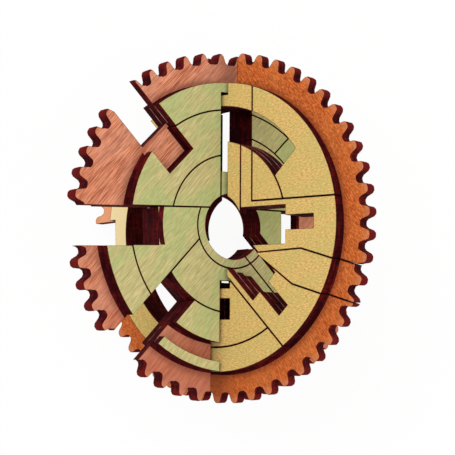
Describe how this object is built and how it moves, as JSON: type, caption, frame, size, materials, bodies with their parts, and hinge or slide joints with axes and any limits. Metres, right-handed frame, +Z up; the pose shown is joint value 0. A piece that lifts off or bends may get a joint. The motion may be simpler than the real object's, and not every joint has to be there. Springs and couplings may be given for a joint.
{
  "type": "wooden gear-disc puzzle",
  "caption": "Plywood puzzle of crossed toothed discs, each cut by straight slots, curved windows and saw lines, with a loose wedge key in the rim.",
  "frame": {"origin": "on the table, below the middle of the axis along which the discs cross", "axes": "+Y along the crossing axis, towards the top of the discs as they are seen from above; +X to the side where the yellow disc rises; +Z up"},
  "size_m": [0.0906, 0.1099, 0.0671],
  "materials": {
    "green_face": "light green wood stain, matt",
    "green_gear": "pink-brown wood stain, matt",
    "green_back": "light green wood stain, matt",
    "yellow_face": "straw yellow wood stain, matt",
    "yellow_gear": "orange-brown wood stain, matt",
    "yellow_back": "straw yellow wood stain, matt"
  },
  "bodies": {
    "yellow_disc": {"yellow_back_bottom": "yellow_back", "yellow_back_bridge": "yellow_back", "yellow_back_far_left": "yellow_back", "yellow_back_far_top": "yellow_back", "yellow_back_lower_right": "yellow_back", "yellow_back_right": "yellow_back", "yellow_face_bottom": "yellow_face", "yellow_face_bottom_rim": "yellow_face", "yellow_face_bridge": "yellow_face", "yellow_face_far_bottom": "yellow_face", "yellow_face_far_left": "yellow_face", "yellow_face_far_top": "yellow_face", "yellow_face_inner_right": "yellow_face", "yellow_face_inner_strip": "yellow_face", "yellow_face_lower_right": "yellow_face", "yellow_face_right": "yellow_face", "yellow_face_upper_right": "yellow_face", "yellow_gear_bridge": "yellow_gear", "yellow_gear_far_bottom": "yellow_gear", "yellow_gear_far_left": "yellow_gear", "yellow_gear_far_top": "yellow_gear", "yellow_gear_lower_right": "yellow_gear", "yellow_gear_right": "yellow_gear"},
    "green_disc": {"green_back_bottom": "green_back", "green_back_crown": "green_back", "green_back_far_lower": "green_back", "green_back_far_right": "green_back", "green_back_hub": "green_back", "green_back_lower_left": "green_back", "green_back_upper_left": "green_back", "green_face_bottom_inner": "green_face", "green_face_bottom_middle": "green_face", "green_face_bottom_strip": "green_face", "green_face_crown": "green_face", "green_face_far_bottom": "green_face", "green_face_far_core": "green_face", "green_face_far_inner": "green_face", "green_face_far_rib": "green_face", "green_face_far_ring": "green_face", "green_face_far_top": "green_face", "green_face_far_upper_right": "green_face", "green_face_hub_ring": "green_face", "green_face_inner_left": "green_face", "green_face_lower_left": "green_face", "green_face_lower_left_rim": "green_face", "green_face_upper_left": "green_face", "green_gear_bottom": "green_gear", "green_gear_crown": "green_gear", "green_gear_far_lower": "green_gear", "green_gear_far_right": "green_gear", "green_gear_hub": "green_gear", "green_gear_lower_left": "green_gear", "green_gear_upper_left": "green_gear"},
    "key": {"yellow_back_key": "yellow_back", "yellow_face_key": "yellow_face", "yellow_gear_key": "yellow_gear"}
  },
  "joints": [
    {"name": "green_slide", "type": "slide", "parent": "yellow_disc", "child": "green_disc", "axis": [0, 1, 0], "range_m": [0, 0.018]},
    {"name": "key_slide", "type": "slide", "parent": "yellow_disc", "child": "key", "axis": [0.7757, -0.284, 0.5636], "range_m": [0, 0.02]}
  ]
}
